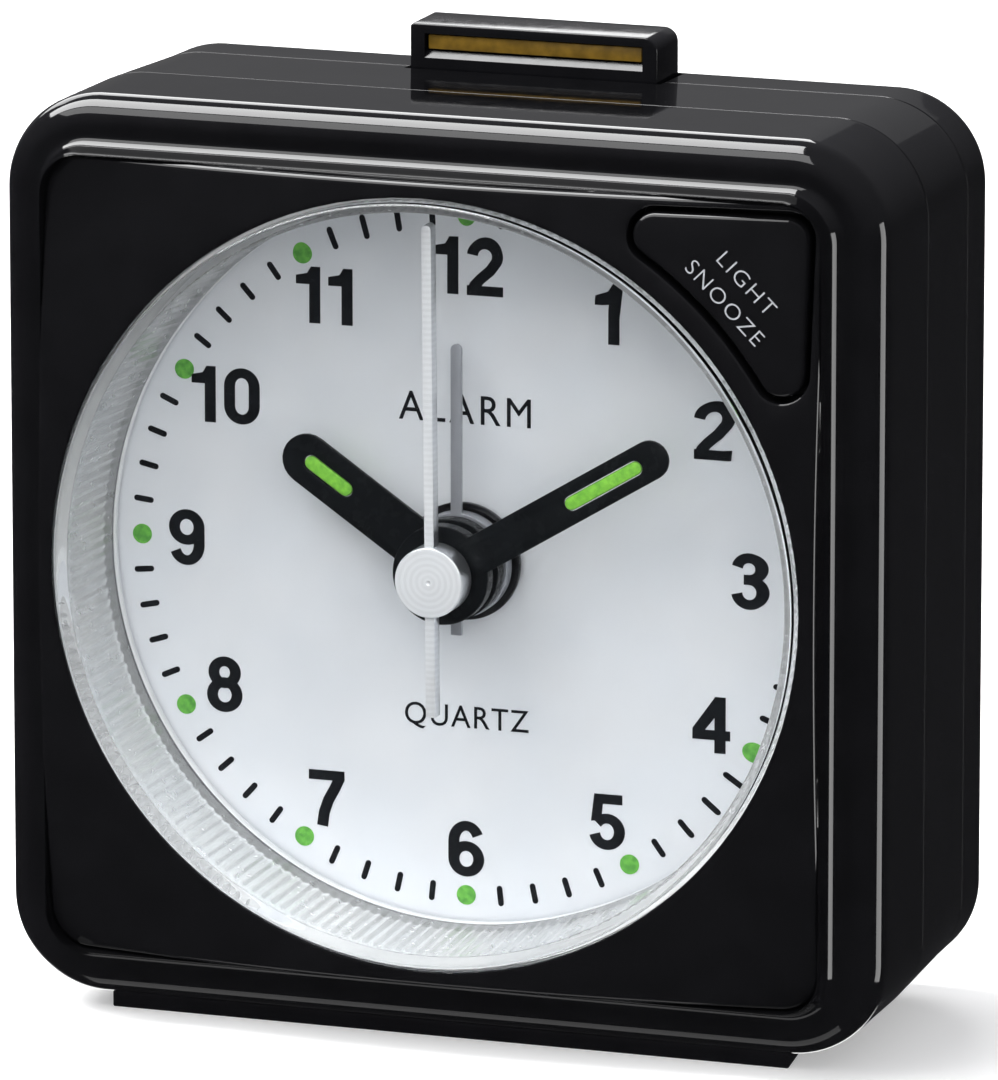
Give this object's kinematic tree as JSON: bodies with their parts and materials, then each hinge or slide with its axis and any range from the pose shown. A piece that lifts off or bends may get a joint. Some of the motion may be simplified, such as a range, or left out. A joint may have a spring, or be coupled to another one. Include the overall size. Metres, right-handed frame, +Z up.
{
  "type": "travel alarm clock",
  "caption": "Small square analogue travel alarm clock: glossy black case, round dial, luminous hands, pop-up alarm button, light and snooze button, quartz gear train and setting knobs behind.",
  "frame": {"origin": "centre of the footprint box, on the surface the foot stands on", "axes": "+Z up, the dial faces -Y, +X is to the right when the dial is read"},
  "size_m": [0.057, 0.0298, 0.0605],
  "materials": {
    "gloss_black": "glossy moulded black",
    "satin_black": "satin moulded black",
    "clear_plastic": "clear moulded acrylic",
    "dial_silver": "satin silver-white print",
    "white_plastic": "satin white",
    "hand_black": "matt black paint",
    "lume_green": "luminous paint",
    "alarm_hand_grey": "grey satin",
    "chrome": "bright plated",
    "amber": "amber signal strip",
    "gear_white": "moulded acetal",
    "brass": "stamped and turned",
    "movement_plastic": "moulded",
    "soft_iron": "stamped sheet",
    "magnet": "bonded magnet",
    "copper": "enamelled copper wire",
    "board_green": "solder mask",
    "epoxy_black": "epoxy drop",
    "steel": "nickel plated",
    "cell_label": "printed sleeve on steel",
    "led_clear": "clear epoxy",
    "wire_red": "PVC",
    "wire_black": "PVC"
  },
  "bodies": {
    "case": {"front_case": "gloss_black", "middle_case": "gloss_black", "rear_cover": "gloss_black", "foot": "satin_black", "crystal": "clear_plastic", "dial": "dial_silver", "dial_ring": "white_plastic", "dial_bush": "satin_black", "movement_front_plate": "movement_plastic", "movement_middle_plate": "movement_plastic", "movement_rear_plate": "movement_plastic", "stator": "soft_iron", "coil_bobbin": "white_plastic", "coil_winding": "copper", "circuit_board": "board_green", "quartz_crystal_can": "steel", "chip": "epoxy_black", "light_led": "led_clear", "snooze_contact": "brass", "alarm_switch_leaf": "brass", "piezo_buzzer": "brass", "battery_cell": "cell_label", "battery_contact_plus": "steel", "battery_spring_minus": "steel", "battery_wire_plus": "wire_red", "battery_wire_minus": "wire_black", "case_screw_1": "steel", "case_screw_2": "steel", "case_screw_3": "steel", "case_screw_4": "steel"},
    "second": {"second_hand": "chrome", "second_wheel": "gear_white"},
    "third": {"third_wheel": "gear_white"},
    "centre": {"centre_wheel": "brass"},
    "intermediate": {"intermediate_wheel": "gear_white"},
    "rotor": {"rotor_pinion": "gear_white", "rotor_magnet": "magnet"},
    "minute": {"minute_hand": "hand_black", "minute_hand_lume": "lume_green", "cannon_pinion": "brass"},
    "hour": {"hour_hand": "hand_black", "hour_hand_lume": "lume_green", "hour_wheel": "gear_white"},
    "time_setting": {"motion_wheel": "gear_white", "time_set_knob": "satin_black"},
    "alarm": {"alarm_hand": "alarm_hand_grey", "alarm_wheel": "gear_white"},
    "alarm_setting": {"alarm_set_shaft": "gear_white", "alarm_set_knob": "satin_black"},
    "snooze_button": {"light_snooze_button": "gloss_black"},
    "alarm_switch_button": {"alarm_button": "satin_black", "alarm_button_amber_strip": "amber"},
    "battery_lid": {"battery_door": "gloss_black"}
  },
  "joints": [
    {"name": "second_hand_spin", "type": "hinge", "parent": "case", "child": "second", "pos_m": [0, -0.00565, 0.0296], "axis": [0, 1, 0], "continuous": true},
    {"name": "third_wheel_spin", "type": "hinge", "parent": "case", "child": "third", "pos_m": [-0.00392, -0.00565, 0.024], "axis": [0, 1, 0], "continuous": true},
    {"name": "centre_wheel_spin", "type": "hinge", "parent": "case", "child": "centre", "pos_m": [0, -0.00565, 0.0296], "axis": [0, 1, 0], "continuous": true},
    {"name": "intermediate_wheel_spin", "type": "hinge", "parent": "case", "child": "intermediate", "pos_m": [0, -0.00565, 0.03683], "axis": [0, 1, 0], "continuous": true},
    {"name": "rotor_spin", "type": "hinge", "parent": "case", "child": "rotor", "pos_m": [0, -0.00565, 0.04246], "axis": [0, 1, 0], "continuous": true},
    {"name": "minute_hand_spin", "type": "hinge", "parent": "case", "child": "minute", "pos_m": [0, -0.00565, 0.0296], "axis": [0, 1, 0], "continuous": true},
    {"name": "hour_hand_spin", "type": "hinge", "parent": "case", "child": "hour", "pos_m": [0, -0.00565, 0.0296], "axis": [0, 1, 0], "continuous": true},
    {"name": "time_set_knob_spin", "type": "hinge", "parent": "case", "child": "time_setting", "pos_m": [-0.00626, -0.00565, 0.03322], "axis": [0, 1, 0], "continuous": true},
    {"name": "alarm_hand_spin", "type": "hinge", "parent": "case", "child": "alarm", "pos_m": [0, -0.00565, 0.0296], "axis": [0, 1, 0], "continuous": true},
    {"name": "alarm_set_knob_spin", "type": "hinge", "parent": "case", "child": "alarm_setting", "pos_m": [0.00704, -0.00565, 0.03367], "axis": [0, 1, 0], "continuous": true},
    {"name": "snooze_press", "type": "slide", "parent": "case", "child": "snooze_button", "axis": [0, 1, 0], "range_m": [0, 0.0008], "stiffness_N_per_m": 600, "springref_m": -0.0005},
    {"name": "alarm_button_push", "type": "slide", "parent": "case", "child": "alarm_switch_button", "axis": [0, 0, -1], "range_m": [0, 0.0024]},
    {"name": "battery_lid_pull", "type": "slide", "parent": "case", "child": "battery_lid", "axis": [0, 1, 0], "range_m": [0, 0.012]}
  ],
  "couplings": [
    {"joint": "third_wheel_spin", "follows": "second_hand_spin", "ratio": -0.13333},
    {"joint": "centre_wheel_spin", "follows": "second_hand_spin", "ratio": 0.016667},
    {"joint": "intermediate_wheel_spin", "follows": "second_hand_spin", "ratio": -5},
    {"joint": "rotor_spin", "follows": "second_hand_spin", "ratio": 30},
    {"joint": "time_set_knob_spin", "follows": "minute_hand_spin", "ratio": -0.33333},
    {"joint": "hour_hand_spin", "follows": "minute_hand_spin", "ratio": 0.083333},
    {"joint": "alarm_hand_spin", "follows": "alarm_set_knob_spin", "ratio": -0.5}
  ]
}
